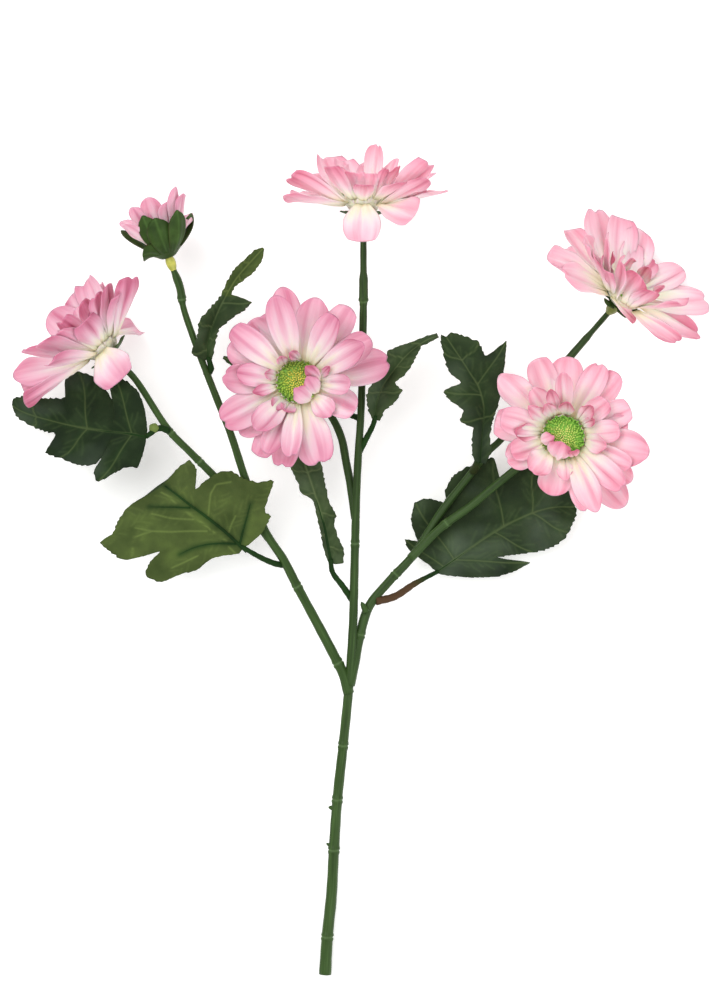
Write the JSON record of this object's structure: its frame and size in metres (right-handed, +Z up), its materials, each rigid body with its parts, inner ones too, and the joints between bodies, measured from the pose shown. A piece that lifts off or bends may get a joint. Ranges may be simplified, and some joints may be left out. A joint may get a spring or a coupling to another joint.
{
  "type": "spray of pink garden chrysanthemum",
  "caption": "Cut spray of pink garden chrysanthemum lying flat: a branching stem with open semi-double blooms, a half-open bud and lobed leaves.",
  "frame": {"origin": "on the surface that the spray lies on, under the middle of its bounding box", "axes": "+Z up from the surface, +Y from the cut end of the stem towards the top bloom, +X to the right as seen from above"},
  "size_m": [0.2957, 0.3522, 0.0643],
  "materials": {
    "stem": "satin, ribbed lengthways",
    "petal": "soft matt, cream at the root and pink towards the tip",
    "disc": "matt, grainy",
    "calyx": "matt",
    "neck": "satin",
    "leaf": "satin, with light veins",
    "leaf_underside": "matt underside, with raised dark ribs"
  },
  "bodies": {
    "root": {"stem": "stem", "bud_petals": "petal", "bud_calyx": "calyx", "bud_neck": "neck", "bloom_left_petals": "petal", "bloom_left_disc": "disc", "bloom_left_calyx": "calyx", "bloom_left_neck": "neck", "bloom_top_petals": "petal", "bloom_top_disc": "disc", "bloom_top_calyx": "calyx", "bloom_top_neck": "neck", "bloom_centre_petals": "petal", "bloom_centre_disc": "disc", "bloom_centre_calyx": "calyx", "bloom_centre_neck": "neck", "bloom_upper_right_petals": "petal", "bloom_upper_right_disc": "disc", "bloom_upper_right_calyx": "calyx", "bloom_upper_right_neck": "neck", "bloom_right_petals": "petal", "bloom_right_disc": "disc", "bloom_right_calyx": "calyx", "bloom_right_neck": "neck", "leaf_left_upper": "leaf", "leaf_left_lower": "leaf_underside", "leaf_bud": "leaf", "leaf_centre": "leaf", "leaf_behind_centre": "leaf", "leaf_middle": "leaf", "leaf_right_upper": "leaf", "leaf_right_lower": "leaf"}
  },
  "joints": []
}
